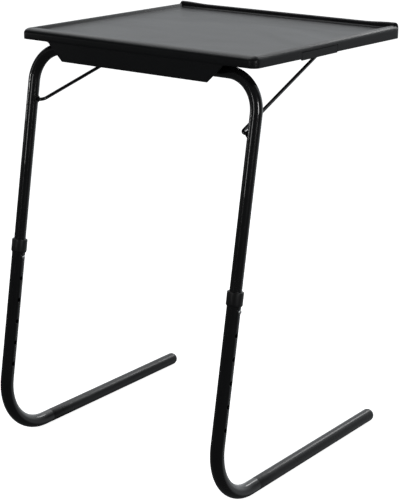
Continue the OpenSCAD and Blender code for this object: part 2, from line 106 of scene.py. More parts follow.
# sizes shared with the CAD model: the steel frame. HINGE_S, BEND_TOP, UPPER_END, TOP_HOLE and LOWER_TOP are
# heights along the leaning leg.
UPPER_R = 10.0
WALL = 1.2
LOWER_IN = 10.3
LOWER_R = 11.5
SLEEVE_LO, SLEEVE_HI = cad("left_foot_sleeve")
LEG_X = -(SLEEVE_LO.x + SLEEVE_HI.x) / 2
HINGE_S = HINGE.z / math.cos(LEAN)
LEG_Y = HINGE.y - HINGE_S * math.sin(LEAN)
FRAME_BEND = 58.0
FOOT_BEND = 91.0
FOOT_Z = LOWER_R
FOOT_TAN = FOOT_BEND / math.tan((math.pi / 2 - LEAN) / 2)
BEND_TOP = FOOT_Z / math.cos(LEAN) + FOOT_TAN
FOOT_START = FOOT_Z * math.tan(LEAN) + FOOT_TAN
PITCH = 38.1
HOLES = 6
HOLE_R = 3.8
HOLE_UP = 25.4
TOP_LAND = 27.0
PLUG_LONG = 15.0
PLUG_FLANGE = 3.0
PLUG_GAP = 0.8
UPPER_END = BEND_TOP + PITCH * (HOLES - 1) + PLUG_GAP + PLUG_FLANGE
TOP_HOLE = UPPER_END + HOLE_UP
LOWER_TOP = TOP_HOLE + TOP_LAND
COLLAR_R = 13.4
COLLAR_LONG = 23.0
COLLAR_LIP = 3.5
NECK = 16.0
NECK_IN = 0.8
BUTTON_R = 3.4
BUTTON_OUT = 3.0
BUTTON_DOME = 1.6
WIRE_R = 3.0
BAIL_LEN = 298.0
BAIL_RISE = math.radians(17.8)
ARM_LEAN = math.radians(6.8)
ELBOW_IN = 23.0
ELBOW_X = LEG_X - ELBOW_IN
STUB_OUT = 5.0
BUSH_DROP = 88.5
BUSH_HOLE_R = 4.73

# the visual model's own sizes: the rim's rolls, its width, and the facets round a tube
SIDE_ROLL = 11.5
FRONT_ROLL = 16.0
ROLL_Z = 8.0
RIM_W = 21.0
INNER = 0.8
LIP_R = 4.6
SEGS = 48


# --- mesh helpers -------------------------------------------------------------


class Build:
    """Vertices in millimetres and faces, closed up into one object."""

    def __init__(self):
        self.v = []
        self.f = []

    def vert(self, p):
        self.v.append(Vector(p))
        return len(self.v) - 1

    def ring(self, points):
        return [self.vert(p) for p in points]

    def bridge(self, a, b, closed=True):
        n = len(a)
        for i in range(n if closed else n - 1):
            j = (i + 1) % n
            self.f.append((a[i], a[j], b[j], b[i]))

    def cap(self, ring):
        self.f.append(tuple(ring))

    def add(self, other, matrix=None):
        base = len(self.v)
        self.v += [matrix @ p if matrix else p for p in other.v]
        self.f += [tuple(i + base for i in f) for f in other.f]


def make(name, build, mat, body, nodes=(), sharp=40.0, bevel=0.0, steps=2):
    mesh = bpy.data.meshes.new(name)
    mesh.from_pydata([tuple(p * MM) for p in build.v], [], build.f)
    bm = bmesh.new()
    bm.from_mesh(mesh)
    bmesh.ops.remove_doubles(bm, verts=bm.verts, dist=1e-6)
    bmesh.ops.recalc_face_normals(bm, faces=bm.faces)
    bm.to_mesh(mesh)
    bm.free()
    mesh.shade_smooth()
    mesh.set_sharp_from_angle(angle=math.radians(sharp))
    obj = bpy.data.objects.new(name, mesh)
    bpy.context.scene.collection.objects.link(obj)
    mesh.materials.append(mat)
    if bevel:
        soften(obj, bevel, sharp, steps)
    if body:
        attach(obj, body)
    if nodes:
        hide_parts(*nodes)
    return obj


def soften(obj, width, sharp=40.0, steps=2):
    mod = obj.modifiers.new("edge", "BEVEL")
    mod.width = width * MM
    mod.segments = steps
    mod.limit_method = "ANGLE"
    mod.angle_limit = math.radians(sharp)
    mod.harden_normals = True
    mod.use_clamp_overlap = True


def fillet(points, radii, steps=5, closed=True):
    """A 2D outline with its corners rounded; radii is one number or one for each point."""
    out = []
    n = len(points)
    for i, p in enumerate(points):
        r = radii[i] if isinstance(radii, (list, tuple)) else radii
        p = Vector(p)
        if r <= 0 or (not closed and i in (0, n - 1)):
            out.append(p)
            continue
        a = Vector(points[i - 1]) - p
        b = Vector(points[(i + 1) % n]) - p
        la, lb = a.length, b.length
        a.normalize()
        b.normalize()
        half = a.angle(b) / 2
        if half > math.pi / 2 - 1e-3:
            out.append(p)
            continue
        cut = min(r / math.tan(half), la * 0.49, lb * 0.49)
        rr = cut * math.tan(half)
        centre = p + (a + b).normalized() * (rr / math.sin(half))
        s, e = p + a * cut - centre, p + b * cut - centre
        turn = math.atan2(s.x * e.y - s.y * e.x, s.dot(e))
        for k in range(steps + 1):
            t = turn * k / steps
            out.append(centre + Vector((s.x * math.cos(t) - s.y * math.sin(t),
                                        s.x * math.sin(t) + s.y * math.cos(t))))
    return out


def lathe(profile, segs=64, closed=True):
    """Turns (radius, height) points about +Z. A point on the axis becomes a pole."""
    b = Build()
    rings = []
    for r, z in profile:
        if r < 1e-6:
            rings.append([b.vert((0, 0, z))])
        else:
            rings.append(b.ring([(r * math.cos(2 * math.pi * k / segs),
                                  r * math.sin(2 * math.pi * k / segs), z) for k in range(segs)]))
    pairs = list(zip(rings, rings[1:]))
    if closed:
        pairs.append((rings[-1], rings[0]))
    for a, c in pairs:
        if len(a) == 1 and len(c) == 1:
            continue
        if len(a) == 1:
            b.f += [(a[0], c[(k + 1) % segs], c[k]) for k in range(segs)]
        elif len(c) == 1:
            b.f += [(c[0], a[k], a[(k + 1) % segs]) for k in range(segs)]
        else:
            b.bridge(a, c)
    return b


def extrude(outline, depth):
    """A closed 2D outline in XY, pulled along +Z."""
    b = Build()
    low = b.ring([(p[0], p[1], 0) for p in outline])
    top = b.ring([(p[0], p[1], depth) for p in outline])
    b.bridge(low, top)
    b.cap(low)
    b.cap(top)
    return b


def box(lo, hi):
    outline = [(lo[0], lo[1]), (hi[0], lo[1]), (hi[0], hi[1]), (lo[0], hi[1])]
    b = Build()
    b.add(extrude(outline, hi[2] - lo[2]), Matrix.Translation((0, 0, lo[2])))
    return b


def arc_path(corners, radii, flat, step=6.0, fine=3.0):
    """Places along a polyline with rounded corners, in the plane normal to flat.

    Each place is a point, the tangent, the normal in the plane, and flat itself."""
    pts = []
    n = len(corners)
    for i, p in enumerate(corners):
        p = Vector(p)
        if i in (0, n - 1):
            pts.append((p, None))
            continue
        a = (Vector(corners[i - 1]) - p).normalized()
        b = (Vector(corners[i + 1]) - p).normalized()
        half = a.angle(b) / 2
        r = radii[i]
        cut = r / math.tan(half)
        centre = p + (a + b).normalized() * (r / math.sin(half))
        turn = math.pi - 2 * half
        s = p + a * cut - centre
        e = p + b * cut - centre
        steps = max(6, int(math.degrees(turn) / fine))
        axis = s.cross(e).normalized()
        for k in range(steps + 1):
            m = Matrix.Rotation(turn * k / steps, 3, axis)
            q = m @ s
            pts.append((centre + q, (m @ -a).normalized()))
    line = []
    for i, (p, t) in enumerate(pts):
        if t is None:
            other = pts[1][0] if i == 0 else pts[i - 1][0]
            t = (other - p).normalized() * (1 if i == 0 else -1)
        if line:
            q, u = line[-1]
            gap = (p - q).length
            if gap > step * 3 and u.dot(t) > 0.9999:
                for k in range(1, int(gap / step)):
                    line.append((q + (p - q) * k / int(gap / step), t))
        line.append((p, t))
    flat = Vector(flat).normalized()
    return [(p, t, flat.cross(t).normalized(), flat) for p, t in line]


def circle_ring(b, place, r, segs):
    p, _, u, w = place
    angles = [2 * math.pi * k / segs for k in range(segs)]
    return b.ring([p + u * (r * math.cos(a)) + w * (r * math.sin(a)) for a in angles])


def rod(path, r, segs=32, tip=0.6):
    """A solid wire along a path, its ends a little rounded."""
    b = Build()
    first, last = path[0], path[-1]

    def tip_ring(place, way, k):
        a = k * math.pi / 2
        inset = place[1] * (way * tip * (1 - math.cos(a)))
        return circle_ring(b, (place[0] + inset,) + place[1:], r - tip * (1 - math.sin(a)), segs)

    rings = [tip_ring(first, 1, k) for k in (0.0, 0.3, 0.7)]
    for place in path[1:-1]:
        if (place[0] - first[0]).length > tip and (place[0] - last[0]).length > tip:
            rings.append(circle_ring(b, place, r, segs))
    rings += [tip_ring(last, -1, k) for k in (0.7, 0.3, 0.0)]
    b.cap(rings[0])
    b.cap(rings[-1])
    for a, c in zip(rings, rings[1:]):
        b.bridge(a, c)
    return b


class Drilled:
    """A straight tube's inner and outer skin as a grid, with round holes drilled across it."""

    def __init__(self, b, at, s_from, s_to, radii, holes, segs=48, half=4, gap=7.0):
        # at(s, u, w): a point at height s, u along the ring's first direction, w along the second
        self.b, self.at, self.segs, self.radii = b, at, segs, radii
        step = 2 * math.pi / segs * radii[0]
        rows, marks = [s_from], []
        way = 1 if s_to > s_from else -1
        for s, angle, r in sorted(holes, key=lambda h: way * h[0]):
            start = s - way * half * step
            self._fill(rows, start, gap)
            marks.append((len(rows) - 1, s, angle, r))
            rows += [start + way * step * k for k in range(1, 2 * half + 1)]
        self._fill(rows, s_to, gap)
        self.rows, self.ids = rows, {}
        skip = set()
        for i0, s, angle, r in marks:
            j0 = round(angle / (2 * math.pi) * segs)
            for i in range(i0, i0 + 2 * half):
                for j in range(-half, half):
                    skip.add((i, (j0 + j) % segs))
        for skin in (0, 1):
            for i in range(len(rows) - 1):
                for j in range(segs):
                    if (i, j) not in skip:
                        k = (j + 1) % segs
                        b.f.append((self.id(skin, i, j), self.id(skin, i, k),
                                    self.id(skin, i + 1, k), self.id(skin, i + 1, j)))
        for i0, s, angle, r in marks:
            self._hole(i0, s, angle, r, half)

    @staticmethod
    def _fill(rows, target, gap):
        n = max(1, int(abs(target - rows[-1]) / gap))
        a = rows[-1]
        rows += [a + (target - a) * k / n for k in range(1, n + 1)]

    def id(self, skin, i, j):
        key = (skin, i, j % self.segs)
        if key not in self.ids:
            a = 2 * math.pi * (j % self.segs) / self.segs
            r = self.radii[skin]
            self.ids[key] = self.b.vert(self.at(self.rows[i], r * math.cos(a), r * math.sin(a)))
        return self.ids[key]

    def ring(self, skin, last=True):
        i = len(self.rows) - 1 if last else 0
        return [self.id(skin, i, j) for j in range(self.segs)]

    def _hole(self, i0, s, angle, r, half):
        j0 = round(angle / (2 * math.pi) * self.segs)
        loop = [(0, j) for j in range(-half, half)]
        loop += [(i, half) for i in range(2 * half)]
        loop += [(2 * half, -j) for j in range(-half, half)]
        loop += [(2 * half - i, -half) for i in range(2 * half)]
        b = self.b
        step_a = 2 * math.pi / self.segs
        way = 1 if self.rows[-1] > self.rows[0] else -1
        step = 2 * math.pi / self.segs * self.radii[0]
        flat = [(j * step, way * (i - half) * step) for i, j in loop]

        def point(radius, y, ds):
            # y is the drill's own sideways distance, so the hole's wall is straight
            a = math.asin(max(-1, min(1, y / radius)))
            return self.at(s + ds, radius * math.cos(a + angle), radius * math.sin(a + angle))

        def circle(radius, rho):
            return b.ring([point(radius, rho * c, rho * d) for c, d in
                           [(x / math.hypot(x, y), y / math.hypot(x, y)) for x, y in flat]])

        walls = []
        for skin in (0, 1):
            radius = self.radii[skin]
            edge = [self.id(skin, i0 + i, j0 + j) for i, j in loop]
            between = []
            for (_, j), (x, y) in zip(loop, flat):
                # between the grid's square edge and a circle 0.9 wider than the hole, nearer the circle
                d = math.hypot(x, y)
                px, py = x / d * (r + 0.9), y / d * (r + 0.9)
                side = radius * math.sin(j * step_a)
                between.append(point(radius, (side + 1.4 * px) / 2.4, (y + 1.4 * py) / 2.4))
            mid = b.ring(between)
            rim = circle(radius, r + 0.32)
            inset = -1 if skin == 0 else 1
            lip = circle(radius + inset * 0.1, r + 0.1)
            wall = circle(radius + inset * 0.32, r)
            chain = [edge, mid, rim, lip, wall]
            for a, c in zip(chain, chain[1:]):
                b.bridge(a, c)
            walls.append(wall)
        b.bridge(*walls)


# --- material helpers ---------------------------------------------------------


class Shade:
    def __init__(self, name):
        self.mat = bpy.data.materials.new(name)
        self.mat.use_nodes = True
        self.t = self.mat.node_tree
        self.t.nodes.clear()
        self.out = self.t.nodes.new("ShaderNodeOutputMaterial")
        self.bsdf = self.t.nodes.new("ShaderNodeBsdfPrincipled")
        self.t.links.new(self.bsdf.outputs[0], self.out.inputs[0])
        self.coord = self.t.nodes.new("ShaderNodeTexCoord").outputs["Object"]
        self.geo = self.t.nodes.new("ShaderNodeNewGeometry")

    def put(self, socket, value):
        if isinstance(value, bpy.types.NodeSocket):
            self.t.links.new(value, socket)
        elif isinstance(value, (tuple, list)) and len(value) == 3 and len(socket.default_value) == 4:
            socket.default_value = (*value, 1)
        else:
            socket.default_value = value
        return socket

    def node(self, kind, **inputs):
        n = self.t.nodes.new(kind)
        for k, v in inputs.items():
            self.put(n.inputs[k.replace("_", " ")], v)
        return n

    def stretch(self, scale=(1, 1, 1), turn=(0, 0, 0)):
        n = self.t.nodes.new("ShaderNodeMapping")
        self.put(n.inputs["Vector"], self.coord)
        n.inputs["Scale"].default_value = scale
        n.inputs["Rotation"].default_value = turn
        return n.outputs[0]

    def noise(self, scale, detail=3, rough=0.5, warp=0.0, vector=None):
        n = self.node("ShaderNodeTexNoise", Vector=vector or self.coord, Scale=scale, Detail=detail,
                      Roughness=rough)
        n.inputs["Distortion"].default_value = warp
        return n.outputs["Fac"]

    def cells(self, scale, kind="F1", random_=1.0, vector=None):
        n = self.t.nodes.new("ShaderNodeTexVoronoi")
        n.feature = kind
        self.put(n.inputs["Vector"], vector or self.coord)
        n.inputs["Scale"].default_value = scale
        n.inputs["Randomness"].default_value = random_
        return n.outputs["Distance"]

    def span(self, value, a, b, c=0.0, d=1.0, smooth=False):
        n = self.t.nodes.new("ShaderNodeMapRange")
        n.interpolation_type = "SMOOTHSTEP" if smooth else "LINEAR"
        n.clamp = True
        self.put(n.inputs[0], value)
        for i, x in enumerate((a, b, c, d)):
            n.inputs[i + 1].default_value = x
        return n.outputs[0]

    def math(self, op, a, b=0.0, clamp=False):
        n = self.t.nodes.new("ShaderNodeMath")
        n.operation = op
        n.use_clamp = clamp
        self.put(n.inputs[0], a)
        self.put(n.inputs[1], b)
        return n.outputs[0]

    def mix(self, fac, a, b):
        n = self.t.nodes.new("ShaderNodeMix")
        n.data_type = "RGBA"
        self.put(n.inputs[0], fac)
        self.put(n.inputs[6], a)
        self.put(n.inputs[7], b)
        return n.outputs[2]

    def upward(self):
        n = self.t.nodes.new("ShaderNodeSeparateXYZ")
        self.t.links.new(self.geo.outputs["Normal"], n.inputs[0])
        return n.outputs[2]

    def bump(self, height, strength, distance, after=None):
        n = self.t.nodes.new("ShaderNodeBump")
        self.put(n.inputs["Height"], height)
        n.inputs["Strength"].default_value = strength
        n.inputs["Distance"].default_value = distance
        if after:
            self.t.links.new(after, n.inputs["Normal"])
        return n.outputs[0]

    def done(self, color, rough, normal, **sockets):
        self.put(self.bsdf.inputs["Base Color"], color)
        self.put(self.bsdf.inputs["Roughness"], rough)
        self.t.links.new(normal, self.bsdf.inputs["Normal"])
        for k, v in sockets.items():
            self.put(self.bsdf.inputs[k.replace("_", " ")], v)
        return self.mat


def scratches(s, scale, turn, thin=0.012):
    """Fine hairlines: stretched noise cut to a thin band."""
    lines = s.noise(scale, 2, 0.5, 0.2, s.stretch((1, 0.035, 1), turn))
    band = s.math("ABSOLUTE", s.math("SUBTRACT", lines, 0.5))
    return s.span(band, 0.0, thin, 1.0, 0.0)


def enamel():
    s = Shade("black_enamel")
    cloud = s.noise(9, 4, 0.55)
    fine = s.noise(60, 3, 0.6)
    dust = s.math("MULTIPLY", s.span(s.upward(), 0.35, 1.0, smooth=True), s.span(fine, 0.45, 0.75))
    marks = s.math("MULTIPLY", scratches(s, 240, (0.3, 0.1, 0.5)), s.span(cloud, 0.5, 0.62))
    chips = s.span(s.noise(420, 2, 0.5), 0.765, 0.775)
    color = s.mix(s.span(cloud, 0.3, 0.7), (0.0055, 0.0055, 0.0062), (0.0088, 0.0088, 0.0095))
    color = s.mix(s.math("MULTIPLY", dust, 0.10), color, (0.10, 0.10, 0.098))
    color = s.mix(s.math("MULTIPLY", marks, 0.25), color, (0.05, 0.05, 0.05))
    color = s.mix(s.math("MULTIPLY", chips, 0.6), color, (0.12, 0.12, 0.12))
    rough = s.span(fine, 0.3, 0.7, 0.20, 0.28)
    rough = s.math("ADD", rough, s.math("MULTIPLY", marks, 0.16))
    rough = s.math("ADD", rough, s.math("MULTIPLY", dust, 0.10), clamp=True)
    peel = s.bump(s.noise(330, 2, 0.5), 0.10, 0.0004)
    wave = s.bump(s.noise(42, 2, 0.4), 0.08, 0.0008, peel)
    return s.done(color, rough, wave, Coat_Weight=0.9, Coat_Roughness=0.025, Specular_IOR_Level=0.25)


def moulded_top():
    s = Shade("tray_plastic")
    cloud = s.noise(6, 4, 0.6, 0.4)
    smear = s.noise(3.2, 3, 0.5, 1.2, s.stretch((1, 2.2, 1), (0, 0, 0.5)))
    grain = s.cells(1500, "SMOOTH_F1", 1.0)
    pores = s.noise(2300, 2, 0.6)
    rub = s.math("MULTIPLY", scratches(s, 90, (0, 0, 0.7), 0.009), s.span(cloud, 0.5, 0.66))
    rub2 = s.math("MULTIPLY", scratches(s, 70, (0, 0, -0.9), 0.008), s.span(smear, 0.5, 0.64))
    marks = s.math("MAXIMUM", rub, rub2)
    color = s.mix(s.span(cloud, 0.3, 0.7), (0.0105, 0.0110, 0.0122), (0.0135, 0.0142, 0.0156))
    color = s.mix(s.math("MULTIPLY", s.span(pores, 0.55, 0.75), 0.3), color, (0.0070, 0.0072, 0.0080))
    color = s.mix(s.math("MULTIPLY", marks, 0.20), color, (0.05, 0.05, 0.05))
    rough = s.span(smear, 0.3, 0.7, 0.30, 0.38)
    rough = s.math("ADD", rough, s.math("MULTIPLY", marks, 0.08), clamp=True)
    tex = s.math("ADD", s.math("MULTIPLY", grain, 0.7), s.math("MULTIPLY", pores, 0.5))
    normal = s.bump(tex, 0.22, 0.00022)
    normal = s.bump(s.noise(14, 2, 0.4), 0.10, 0.0012, normal)
    return s.done(color, rough, normal, Specular_IOR_Level=0.25)


def black_trim(name, low, high, r0, r1):
    s = Shade(name)
    cloud = s.noise(22, 4, 0.55)
    fine = s.noise(900, 3, 0.6)
    specks = s.span(s.noise(75, 4, 0.65), 0.48, 0.72)
    dust = s.math("MULTIPLY", s.span(s.upward(), 0.2, 1.0, smooth=True), specks)
    color = s.mix(s.span(cloud, 0.3, 0.7), low, high)
    color = s.mix(s.math("MULTIPLY", dust, 0.12), color, (0.10, 0.10, 0.095))
    rough = s.math("ADD", s.span(cloud, 0.3, 0.7, r0, r1), s.math("MULTIPLY", fine, 0.05), clamp=True)
    normal = s.bump(fine, 0.18, 0.00012)
    normal = s.bump(s.noise(120, 2, 0.5), 0.08, 0.0005, normal)
    return s.done(color, rough, normal, Specular_IOR_Level=0.5)


def steel(name, low, high, r0, r1):
    s = Shade(name)
    brush = s.noise(260, 3, 0.6, 0.0, s.stretch((1, 1, 14)))
    cloud = s.noise(90, 4, 0.6)
    tarnish = s.span(s.noise(160, 4, 0.7), 0.55, 0.75)
    color = s.mix(s.span(brush, 0.3, 0.7), low, high)
    color = s.mix(s.math("MULTIPLY", tarnish, 0.25), color, tuple(x * 0.5 for x in low))
    haze = s.math("MULTIPLY", s.span(cloud, 0.4, 0.7), 0.08)
    rough = s.math("ADD", s.span(brush, 0.3, 0.7, r0, r1), haze)
    normal = s.bump(brush, 0.12, 0.0002)
    return s.done(color, rough, normal, Metallic=1.0)


ENAMEL = enamel()
PLASTIC = moulded_top()
TRIM = black_trim("black_trim", (0.0075, 0.0075, 0.008), (0.013, 0.013, 0.014), 0.30, 0.42)
SLEEVE = black_trim("sleeve_plastic", (0.0085, 0.0085, 0.009), (0.012, 0.012, 0.013), 0.22, 0.32)
BRIGHT = steel("bright_steel", (0.80, 0.81, 0.82), (0.92, 0.92, 0.93), 0.24, 0.34)
PLATED = steel("plated_steel", (0.42, 0.43, 0.44), (0.56, 0.57, 0.58), 0.28, 0.38)


# --- steel frame --------------------------------------------------------------


def on_leg(side, s=0.0):
    """Matrix of the leg's own frame at height s along it."""
    return (Matrix.Translation((side * LEG_X, LEG_Y, 0)) @ Matrix.Rotation(-LEAN, 4, "X")
            @ Matrix.Translation((0, 0, s)))


def leg_point(side, s):
    return on_leg(side, s) @ Vector((0, 0, 0))


def upper_frame():
    b = Build()
    flat = Vector((1, 0, 0)).cross(LEG_AXIS)
    low = HINGE_S - FRAME_BEND
    corners = [leg_point(-1, low), leg_point(-1, HINGE_S), leg_point(1, HINGE_S), leg_point(1, low)]
    path = arc_path(corners, [0, FRAME_BEND, FRAME_BEND, 0], flat, 8.0, 3.0)
    path = path[1:-1]
    outer = [circle_ring(b, p, UPPER_R, SEGS) for p in path]
    inner = [circle_ring(b, p, UPPER_R - WALL, SEGS) for p in path]
    for rings in (outer, inner):
        for a, c in zip(rings, rings[1:]):
            b.bridge(a, c)
    for side, place, o, n in ((-1, path[0], outer[0], inner[0]), (1, path[-1], outer[-1], inner[-1])):
        u, w = place[2], place[3]
        # the button's hole faces +X on both sides, the bush's hole faces the other leg
        button_way = math.atan2(0.0, u.x)
        bush_way = math.atan2(0.0, -side * u.x)

        def at(s, x, y, side=side, u=u, w=w):
            return leg_point(side, s) + u * x + w * y

        holes = [(TOP_HOLE, button_way, HOLE_R), (HINGE_S - BUSH_DROP, bush_way, BUSH_HOLE_R)]
        d = Drilled(b, at, UPPER_END, low, (UPPER_R, UPPER_R - WALL), holes, SEGS)
        b.bridge(d.ring(0), o)
        b.bridge(d.ring(1), n)
        b.bridge(d.ring(0, False), d.ring(1, False))
    return make("frame_tube", b, ENAMEL, "frame", ["upper_frame"], 50)


def lower_leg(side):
    name = NAMES[side]
    b = Build()
    foot = Vector((side * LEG_X, LEG_Y + FOOT_START, FOOT_Z))
    tip = foot + Vector((0, NECK, 0))
    knee = Vector((side * LEG_X, LEG_Y + FOOT_Z * math.tan(LEAN), FOOT_Z))
    top = leg_point(side, BEND_TOP + 0.01)
    path = arc_path([top, knee, tip], [0, FOOT_BEND, 0], (1, 0, 0), 8.0, 2.5)[1:]
    # ring directions: first along +X, so the holes face that way
    path = [(p, t, w, u) for p, t, u, w in path]
    outer = [circle_ring(b, p, LOWER_R, SEGS) for p in path]
    inner = [circle_ring(b, p, LOWER_IN, SEGS) for p in path]
    for rings in (outer, inner):
        for a, c in zip(rings, rings[1:]):
            b.bridge(a, c)
    u, w = path[0][2], path[0][3]

    def at(s, x, y):
        return leg_point(side, s) + u * x + w * y

    holes = [(TOP_HOLE - PITCH * k, 0.0, HOLE_R) for k in range(HOLES)]
    d = Drilled(b, at, LOWER_TOP, BEND_TOP, (LOWER_R, LOWER_IN), holes, SEGS)
    b.bridge(d.ring(0), outer[0])
    b.bridge(d.ring(1), inner[0])
    b.bridge(d.ring(0, False), d.ring(1, False))
    # the narrower end that the sleeve sits on
    end = path[-1]
    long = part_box(f"{name}_foot_sleeve")[1].y / MM - tip.y - LOWER_R
    shoulder = circle_ring(b, end, LOWER_R - NECK_IN, SEGS)
    b.bridge(outer[-1], shoulder)
    last = (end[0] + Vector((0, long, 0)),) + end[1:]
    neck_out = circle_ring(b, last, LOWER_R - NECK_IN, SEGS)
    neck_in = circle_ring(b, last, LOWER_IN - NECK_IN, SEGS)
    step = circle_ring(b, end, LOWER_IN - NECK_IN, SEGS)
    b.bridge(shoulder, neck_out)
    b.bridge(neck_out, neck_in)
    b.bridge(neck_in, step)
    b.bridge(step, inner[-1])
    return make(f"{name}_leg_tube", b, ENAMEL, f"{name}_leg", [f"{name}_lower_leg"], 50)


def sleeve(side):
    name = NAMES[side]
    lo, hi = cad(f"{name}_foot_sleeve")
    long = hi.y - lo.y - LOWER_R
    r_in = LOWER_R - NECK_IN + 0.05
    profile = [(r_in, 0.15), (r_in + 0.2, 0.02)]
    profile += [(LOWER_R - 0.25, 0.02), (LOWER_R - 0.05, 0.1), (LOWER_R, 0.35)]
    profile += [(LOWER_R, long * k / 8) for k in range(1, 9)]
    profile += [(LOWER_R * math.cos(a), long + LOWER_R * math.sin(a))
                for a in [math.radians(6 * k) for k in range(1, 15)]]
    profile += [(0, long + LOWER_R), (0, long), (r_in, long)]
    b = Build()
    place = Matrix.Translation((side * LEG_X, lo.y, FOOT_Z)) @ Matrix.Rotation(-math.pi / 2, 4, "X")
    b.add(lathe(profile, SEGS), place)
    return make(f"{name}_foot_cover", b, SLEEVE, f"{name}_leg", [f"{name}_foot_sleeve"],
                50)


def collar(side):
    name = NAMES[side]
    inside = LOWER_R + 0.05
    lip_in = UPPER_R + 0.08
    lip_low = COLLAR_LONG - COLLAR_LIP
    shape = [(inside, 0), (LOWER_R + 0.75, 0), (COLLAR_R, 2.2), (COLLAR_R, COLLAR_LONG)]
    shape += [(lip_in, COLLAR_LONG), (lip_in, lip_low), (inside, lip_low)]
    profile = fillet(shape, [0.15, 0.25, 0.9, 1.4, 0.5, 0, 0], 5)
    b = Build()
    b.add(lathe(profile, SEGS), on_leg(side, LOWER_TOP + COLLAR_LIP - COLLAR_LONG))
    return make(f"{name}_collar_ring", b, TRIM, f"{name}_leg", [f"{name}_collar"], 50)


def plug(side):
    name = NAMES[side]
    in_tube = UPPER_R - WALL - 0.05
    in_leg = LOWER_IN - 0.08
    hollow = UPPER_R - WALL - 2
    shape = [(hollow, 0), (in_leg, 0), (in_leg, PLUG_FLANGE), (in_tube, PLUG_FLANGE), (in_tube, PLUG_LONG),
             (hollow, PLUG_LONG)]
    profile = fillet(shape, [0.3, 0.7, 0.3, 0, 0.8, 0.3], 4)
    b = Build()
    b.add(lathe(profile, SEGS), on_leg(side, UPPER_END - PLUG_FLANGE))
    return make(f"{name}_tube_plug", b, TRIM, "frame", [f"{name}_guide_plug"], 50)


def button(side):
    name = NAMES[side]
    base, reach = UPPER_R - WALL - 0.9, LOWER_R + BUTTON_OUT
    big = (BUTTON_R ** 2 + BUTTON_DOME ** 2) / (2 * BUTTON_DOME)
    spread_angle = 0.97 * math.asin(BUTTON_R / big)
    profile = [(0, base), (BUTTON_R - 0.3, base), (BUTTON_R, base + 0.3)]
    profile += [(BUTTON_R, reach - BUTTON_DOME - 0.25)]
    profile += [(big * math.sin(a), reach - big + big * math.cos(a))
                for a in [spread_angle * (1 - k / 9) for k in range(9)]]
    profile += [(0, reach)]
    b = Build()
    b.add(lathe(profile, 40, closed=False), on_leg(side, TOP_HOLE) @ Matrix.Rotation(math.pi / 2, 4, "Y"))
    return make(f"{name}_button_head", b, BRIGHT, f"{name}_button", [f"{name}_snap_button"],
                50)


def spring(side):
    """A V of strip: from behind the button up to the apex and down along the tube's far wall."""
    name = NAMES[side]
    tip, back = 7.75, -7.7
    apex, foot = 43.5, 5.0
    wide, t = 7.0, 0.7
    near_x, far_x = tip - t / 2, back + t / 2
    line = fillet([(near_x, -foot), (near_x, foot), (0, apex), (far_x, foot), (far_x, -foot)],
                  [0, 3, 2.2, 3, 0], 8, closed=False)
    left, right = [], []
    for i, p in enumerate(line):
        a = line[max(0, i - 1)]
        c = line[min(len(line) - 1, i + 1)]
        d = (c - a).normalized()
        n = Vector((-d.y, d.x)) * t / 2
        left.append(p + n)
        right.append(p - n)
    b = Build()
    turn = Matrix.Rotation(math.pi / 2, 4, "X")
    place = on_leg(side, TOP_HOLE) @ turn @ Matrix.Translation((0, 0, -wide / 2))
    b.add(extrude(left + right[::-1], wide), place)
    strip = make(f"{name}_spring_strip", b, PLATED, None, [f"{name}_snap_spring"], 40, 0.12)
    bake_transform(strip)
    return strip


def bail():
    rise = Vector((0, math.cos(BAIL_RISE), math.sin(BAIL_RISE)))
    stub = ELBOW_X + ELBOW_IN + STUB_OUT
    half = ELBOW_X - BAIL_LEN * math.tan(ARM_LEAN)
    spots = [(-stub, 0), (-ELBOW_X, 0), (-half, BAIL_LEN), (half, BAIL_LEN), (ELBOW_X, 0), (stub, 0)]
    flat = Vector((1, 0, 0)).cross(rise)
    corners = [PIVOT + Vector((x, 0, 0)) + rise * v for x, v in spots]
    path = arc_path(corners, [0, 10, 10, 10, 10, 0], flat, 8.0, 5.0)
    return make("bail_wire", rod(path, WIRE_R, 32), ENAMEL, "bail", ["support_bail"], 50)


def bush(side):
    name = NAMES[side]
    bore = WIRE_R + 0.08
    neck, flange = bore + 1.6, bore + 3.4
    low, high = UPPER_R - 2.6, UPPER_R + 1.5
    shape = [(bore, low), (neck, low), (neck, UPPER_R), (flange, UPPER_R), (flange, high), (bore, high)]
    profile = fillet(shape, [0.2, 0.3, 0, 0.3, 0.9, 0.5], 4)
    spot = Matrix.Translation((side * LEG_X, PIVOT.y, PIVOT.z))
    turn = Matrix.Rotation(-LEAN, 4, "X") @ Matrix.Rotation(-side * math.pi / 2, 4, "Y")
    b = Build()
    b.add(lathe(profile, 40), spot @ turn)
    return make(f"{name}_wire_bush", b, TRIM, "frame", [f"{name}_bail_bush"], 50)


# --- tray ---------------------------------------------------------------------


def smooth(t):
    t = max(0.0, min(1.0, t))
    return t * t * (3 - 2 * t)


